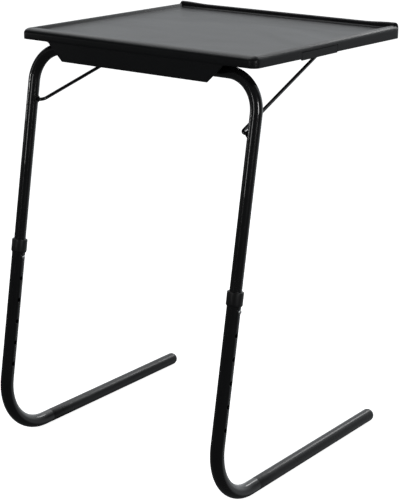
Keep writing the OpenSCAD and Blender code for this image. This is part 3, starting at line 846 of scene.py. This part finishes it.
def perimeter(slot_lo, slot_hi):
    """Columns round the tray: the corner line's point, the outward direction, and if it is in the slot."""
    cx, cy = HALF_X - CORNER, HALF_Y - CORNER
    front, rear = TRAY_CY - cy, TRAY_CY + cy
    right_front, right_rear = Vector((cx, front)), Vector((cx, rear))
    left_rear, left_front = Vector((-cx, rear)), Vector((-cx, front))
    out = []

    def turn(c, start):
        for k in range(13):
            a = math.radians(start + 90 * k / 12)
            out.append((c, Vector((math.cos(a), math.sin(a))), False))

    def side(a, b, n):
        count = round((b - a).length / 9)
        for k in range(1, count):
            out.append((a + (b - a) * k / count, n, False))

    def right_wall(y0, y1, steps, picked, in_slot):
        for k in picked:
            out.append((Vector((cx, y0 + (y1 - y0) * k / steps)), Vector((1, 0)), in_slot))

    turn(right_front, -90)
    right_wall(front, slot_lo, 12, range(1, 13), False)
    right_wall(slot_lo, slot_hi, 12, range(13), True)
    right_wall(slot_hi, rear, 26, range(26), False)
    turn(right_rear, 0)
    side(right_rear, left_rear, Vector((0, 1)))
    turn(left_rear, 90)
    side(left_rear, left_front, Vector((-1, 0)))
    turn(left_front, 180)
    side(left_front, right_front, Vector((0, -1)))
    return out


def spread(c, n, o, z):
    """A point o outside the corner line; further in than INNER the outline shrinks towards the middle."""
    x, y = c.x + n.x * max(o, INNER), c.y + n.y * max(o, INNER)
    deep = max(0.0, INNER - o)
    return (x * (1 - deep / HALF_X), TRAY_CY + (y - TRAY_CY) * (1 - deep / HALF_Y), z)


def rim_profile(n, p):
    """The skin over the rim, from the wall's top to the flat top, for one column.

    Front and sides have a soft roll, and the rear has a raised lip with a trough before it."""
    rear_share = smooth((n.y - 0.25) / 0.6)
    front_share = smooth((-n.y - 0.1) / 0.8)
    corner = smooth((abs(p.x) - (HALF_X - 70)) / 55) if n.y > 0.02 else 0.0
    lip_top = TABLE_H + rear_share * (REAR_RIM - 0.4 + 2.0 * corner)
    roll = SIDE_ROLL + (FRONT_ROLL - SIDE_ROLL) * front_share
    side_pts, rear_pts = [], []
    for k in range(9):
        a = math.pi / 2 * k / 8
        side_pts.append((CORNER - roll + roll * math.cos(a), TABLE_H - ROLL_Z + ROLL_Z * math.sin(a)))
    for k in range(1, 11):
        t = k / 10
        drop = 0.5 - 0.5 * math.cos(math.pi * t)
        side_pts.append((CORNER - roll - (RIM_W - roll) * t, TABLE_H - RIM_H * drop))
    for k in range(9):
        a = math.pi * k / 8
        rear_pts.append((CORNER - LIP_R + LIP_R * math.cos(a), lip_top - LIP_R + LIP_R * math.sin(a)))
    inner = CORNER - 2 * LIP_R
    low = TOP_Z + 1.7
    rear_pts += [(inner - 0.05, lip_top - LIP_R - 1.0), (inner - 0.1, lip_top - LIP_R - 2.5)]
    rear_pts += [(inner - 0.25, low + 1.0), (inner - 0.45, low + 0.35), (inner - 0.9, low)]
    rear_pts += [(inner - 1.9, low - 0.5), (inner - 3.0, TOP_Z + 0.25), (inner - 5, TOP_Z + 0.05)]
    rear_pts += [(inner - 8, TOP_Z), (CORNER - RIM_W, TOP_Z)]
    return [(o + (rear_o - o) * rear_share, z + (rear_z - z) * rear_share)
            for (o, z), (rear_o, rear_z) in zip(side_pts, rear_pts)]


def tray_shell():
    b = Build()
    cup = frame["nodes"]["cup_holder"].data.vertices
    front_plate = [v.co.y / MM for v in cup if v.co.x / MM > HALF_X - 1]
    slot_lo, slot_hi = min(front_plate) - CUP_GAP, max(front_plate) + CUP_GAP
    cols = perimeter(slot_lo, slot_hi)
    outer, inner = [], []
    front = TRAY_CY - HALF_Y
    inside = CORNER - TRAY_T
    for c, n, in_slot in cols:
        p = c + n * CORNER
        low = TABLE_H - WALL_FRONT - (WALL_REAR - WALL_FRONT) * (p.y - front) / (2 * HALF_Y)
        if in_slot:
            low = UNDER_Z + 0.7
        prof = rim_profile(n, p)
        base = prof[0][1]
        skin = [(CORNER - 0.7, low), (CORNER - 0.2, low + 0.18), (CORNER, low + 0.7)]
        skin += [(CORNER, low + 0.7 + (base - low - 0.7) * t) for t in (0.4, 0.8)]
        skin += prof
        if in_slot:
            under = [(inside + 0.6, low), (inside + 0.3, low + 0.02), (inside, low + 0.06)]
            under += [(inside - 0.1, UNDER_Z + 1.7), (inside - 0.7, UNDER_Z + 2.2)]
        else:
            under = [(inside + 0.6, low), (inside + 0.1, low + 0.15), (inside, low + 0.6)]
            under += [(inside, min(base - 1.2, UNDER_Z + 0.6))]
            under += [(inside - 0.6, max(base - 0.6, UNDER_Z + 1))]
        under += [(8.2, UNDER_Z + 3.0), (6.0, UNDER_Z + 2.6), (3.0, UNDER_Z + 0.7), (INNER, UNDER_Z)]
        outer.append(b.ring([spread(c, n, o, z) for o, z in skin]))
        inner.append(b.ring([spread(c, n, o, z) for o, z in under]))
    count = len(cols)
    for i in range(count):
        j = (i + 1) % count
        b.bridge(outer[i], outer[j], False)
        b.bridge(inner[i], inner[j], False)
        b.f.append((outer[i][0], outer[j][0], inner[j][0], inner[i][0]))
    # the flat stretches: two more rings, then one face, above and below
    for skins, z in ((outer, TOP_Z), (inner, UNDER_Z)):
        ring = [s[-1] for s in skins]
        for inset in (14, 45):
            kx, ky = 1 - inset / HALF_X, 1 - inset / HALF_Y
            nxt = b.ring([(b.v[i].x * kx, TRAY_CY + (b.v[i].y - TRAY_CY) * ky, z) for i in ring])
            b.bridge(ring, nxt)
            ring = nxt
        b.cap(ring)
    return make("tray_shell", b, PLASTIC, "tray_top", ["tray"], 42)


def skirt():
    """The deep flared panel over the front tube, its ends curved out into the front wall's lower edge."""
    base = TABLE_H - WALL_FRONT
    end = (SKIRT_W + SKIRT_FLARE) / 2 + 6
    curve = 10.0
    right = [(SKIRT_W / 2, SKIRT_LOW)]
    for k in range(9):
        a = math.radians(150 - 60 * k / 8)
        right.append((end + curve * math.cos(a), base - curve + curve * math.sin(a)))
    right.append((end, base + 4))
    outline = right + [(-x, z) for x, z in right[::-1]]
    outline = fillet(outline, [1.6] + [0] * (len(outline) - 2) + [1.6], 5)
    b = Build()
    back = TRAY_CY - HALF_Y + 1 + TRAY_T
    b.add(extrude(outline, TRAY_T), Matrix.Translation((0, back, 0)) @ Matrix.Rotation(math.pi / 2, 4, "X"))
    return make("tray_skirt", b, PLASTIC, "tray_top", bevel=0.7, steps=3, sharp=50)


def ribs():
    """Ribs from front to rear, the one at the cup holder short, and two across."""
    b = Build()
    rear, front = TRAY_CY + HALF_Y - 6, HINGE.y + 31
    low, high = UNDER_Z - RIB_H, UNDER_Z + SUNK
    for k in (-3, -2, -1, 1, 2):
        x = k * 2 * HALF_X / 8
        end = front + 22 if k > 1 else rear
        b.add(box((x - RIB_T / 2, front, low), (x + RIB_T / 2, end, high)))
    for y in (front, rear - 58):
        b.add(box((-HALF_X + 3, y, low), (HALF_X - 3, y + RIB_T, high)))
    make("tray_ribs", b, PLASTIC, "tray_top", bevel=0.35)


def hinge_blocks():
    """The upper halves of the two pivots: blocks with a half-round saddle on the crossbar."""
    b = Build()
    r, half, split = UPPER_R + 0.08, 23, 3
    high = UNDER_Z - HINGE.z + SUNK
    arc = [(r * math.cos(math.radians(a)), r * math.sin(math.radians(a))) for a in range(164, 15, -6)]
    cut = math.sqrt(r * r - split * split)
    outline = [(-half, split), (-cut, split)] + arc
    outline += [(cut, split), (half, split), (half, high), (-half, high)]
    # the outline's axes become Y and Z, and its depth becomes X
    turn = Matrix(((0, 0, 1, 0), (1, 0, 0, 0), (0, 1, 0, 0), (0, 0, 0, 1)))
    for side in (-1, 1):
        lo, hi = cad(f"{NAMES[side]}_pivot_clamp")
        b.add(extrude(outline, hi.x - lo.x), Matrix.Translation((lo.x, HINGE.y, HINGE.z)) @ turn)
    make("tray_hinge_blocks", b, PLASTIC, "tray_top", bevel=0.5)


def screw_posts():
    b = Build()
    hole, r, deep = 1.6, 4.5, 6
    profile = fillet([(hole, -deep), (r, -deep), (r, SUNK), (hole, SUNK)], [0.3, 0.7, 0, 0], 4)
    for x, y in centres("rack_screws") + centres("runner_screws"):
        b.add(lathe(profile, 32), Matrix.Translation((x, y, UNDER_Z)))
    make("tray_screw_posts", b, PLASTIC, "tray_top", sharp=50)


def centres(node):
    """Centres, seen from above, of a node's separate screws."""
    apart = 12  # wider than a screw's head, less than the way to the next screw
    groups = []
    for p in [v.co / MM for v in frame["nodes"][node].data.vertices]:
        for g in groups:
            if abs(p.x - g[0].x) < apart and abs(p.y - g[0].y) < apart:
                g.append(p)
                break
        else:
            groups.append([p])
    middles = []
    for g in groups:
        xs, ys = [p.x for p in g], [p.y for p in g]
        middles.append(((min(xs) + max(xs)) / 2, (min(ys) + max(ys)) / 2))
    return middles


# --- build it -----------------------------------------------------------------

upper_frame()
bail()
for side in (-1, 1):
    lower_leg(side)
    sleeve(side)
    collar(side)
    plug(side)
    button(side)
    spring(side)
    bush(side)
tray_shell()
skirt()
ribs()
hinge_blocks()
screw_posts()

# CAD nodes that stay, with their material and the width of their softened edges
KEPT = {
    "cup_holder": (PLASTIC, 0.5), "bail_rack": (TRIM, 0.35), "front_runner": (TRIM, 0.35),
    "rear_runner": (TRIM, 0.35), "left_pivot_clamp": (TRIM, 0.5), "right_pivot_clamp": (TRIM, 0.5),
    "clamp_screws": (PLATED, 0.35), "rack_screws": (PLATED, 0.35), "runner_screws": (PLATED, 0.35),
}
for node, (mat, width) in KEPT.items():
    obj = frame["nodes"][node]
    obj.data.materials.clear()
    obj.data.materials.append(mat)
    weld = obj.modifiers.new("weld", "WELD")
    weld.merge_threshold = 0.00002
    soften(obj, width, 35.0, 2)


# --- stage, camera and light, in metres ---------------------------------------

CAMERA_PLACE = (1.43602, -1.89779, 1.06818)
YAW = math.radians(36.95)
PITCH_DOWN = math.radians(17.05)
ROLL = math.radians(0.42)
LENS = 102.44

FLOOR_HALF = 40.0
ROOM = 0.06
BACKDROP = (-0.32, 0.88, 0.50)
SIDE_GLOW = (0.45, 0.88, -0.22)

# place, aim, width and height, watts
LIGHTS = {
    "left_strip": ((-1.67, -1.24, 0.735), (-0.2, -0.15, 0.64), (0.13, 0.09), 1.0),
    "left_low": ((-1.68, -0.73, 0.57), (0.2, -0.15, 0.6), (0.10, 0.07), 0.25),
    "right_box": ((1.89, -0.66, 1.07), (0.2, -0.15, 0.64), (0.30, 0.80), 9),
    "top_box": ((-1.0, 0.2, 2.6), (0, 0, 0.6), (1.2, 0.8), 5),
    "rear_strip": ((0.1, 1.75, 1.30), (0, 0.1, 0), (0.35, 0.90), 4.5),
    "front_strip": ((-0.15, -2.0, 0.95), (0.1, 0, 0.70), (0.25, 0.70), 2.4),
    "back_panel": ((-1.02, 1.36, 1.88), (0, 0, 1.0), (2.6, 1.1), 7.5),
}


def camera():
    data = bpy.data.cameras.new("camera")
    data.lens = LENS
    data.sensor_width = 36
    data.clip_start, data.clip_end = 0.05, 100
    cam = bpy.data.objects.new("camera", data)
    bpy.context.scene.collection.objects.link(cam)
    level = math.cos(PITCH_DOWN)
    forward = Vector((-math.sin(YAW) * level, math.cos(YAW) * level, -math.sin(PITCH_DOWN)))
    across = Vector((math.cos(YAW), math.sin(YAW), 0))
    upright = across.cross(forward)
    right = across * math.cos(ROLL) + upright * math.sin(ROLL)
    up = upright * math.cos(ROLL) - across * math.sin(ROLL)
    m = Matrix.Identity(4)
    for i in range(3):
        m[i][0], m[i][1], m[i][2] = right[i], up[i], -forward[i]
    m.translation = Vector(CAMERA_PLACE)
    cam.matrix_world = m
    bpy.context.scene.camera = cam


def softbox(name, place, aim, size, power):
    data = bpy.data.lights.new(name, "AREA")
    data.shape = "RECTANGLE"
    data.size, data.size_y = size
    data.energy = power
    obj = bpy.data.objects.new(name, data)
    obj.visible_camera = False
    bpy.context.scene.collection.objects.link(obj)
    obj.location = place
    obj.rotation_mode = "QUATERNION"
    obj.rotation_quaternion = (Vector(aim) - Vector(place)).to_track_quat("-Z", "Y")


def floor():
    """Pale and evenly lit; it lights nothing and shows in no reflection."""
    mesh = bpy.data.meshes.new("floor")
    r = FLOOR_HALF
    mesh.from_pydata([(-r, -r, 0), (r, -r, 0), (r, r, 0), (-r, r, 0)], [], [(0, 1, 2, 3)])
    obj = bpy.data.objects.new("floor", mesh)
    bpy.context.scene.collection.objects.link(obj)
    s = Shade("pale_floor")
    s.bsdf.inputs["Base Color"].default_value = (0.8, 0.8, 0.8, 1)
    s.bsdf.inputs["Roughness"].default_value = 0.9
    s.bsdf.inputs["Specular IOR Level"].default_value = 0.0
    s.bsdf.inputs["Emission Color"].default_value = (1, 1, 1, 1)
    s.bsdf.inputs["Emission Strength"].default_value = 0.93
    mesh.materials.append(s.mat)
    obj.visible_glossy = False
    obj.visible_diffuse = False


def world():
    """White to the camera. Light and reflections get a dim room, a backdrop and a glow from behind."""
    w = bpy.data.worlds.new("studio")
    bpy.context.scene.world = w
    w.use_nodes = True
    t = w.node_tree
    t.nodes.clear()

    def node(kind, *inputs, **settings):
        n = t.nodes.new(kind)
        for key, value in settings.items():
            setattr(n, key, value)
        for i, value in enumerate(inputs):
            if isinstance(value, bpy.types.NodeSocket):
                t.links.new(value, n.inputs[i])
            elif value is not None:
                n.inputs[i].default_value = value
        return n

    way = node("ShaderNodeTexCoord").outputs["Generated"]

    def lobe(direction, start, full, strength):
        dot = node("ShaderNodeVectorMath", way, Vector(direction).normalized(), operation="DOT_PRODUCT")
        ramp = node("ShaderNodeMapRange", dot.outputs["Value"], start, full, 0.0, strength,
                    interpolation_type="SMOOTHSTEP")
        return ramp.outputs[0]

    def plus(a, b):
        return node("ShaderNodeMath", a, b, operation="ADD").outputs[0]

    level = plus(lobe(BACKDROP, 0.45, 0.92, 0.64), lobe(SIDE_GLOW, 0.80, 0.96, 0.27))
    level = plus(level, ROOM)
    seen = node("ShaderNodeBackground", (1, 1, 1, 1), 1.1)
    room = node("ShaderNodeBackground", (0.93, 0.97, 1, 1), level)
    path = node("ShaderNodeLightPath")
    mix = node("ShaderNodeMixShader", path.outputs["Is Camera Ray"], room.outputs[0], seen.outputs[0])
    node("ShaderNodeOutputWorld", mix.outputs[0])


camera()
floor()
world()
bpy.context.scene.view_settings.view_transform = "Standard"
for name, settings in LIGHTS.items():
    softbox(name, *settings)
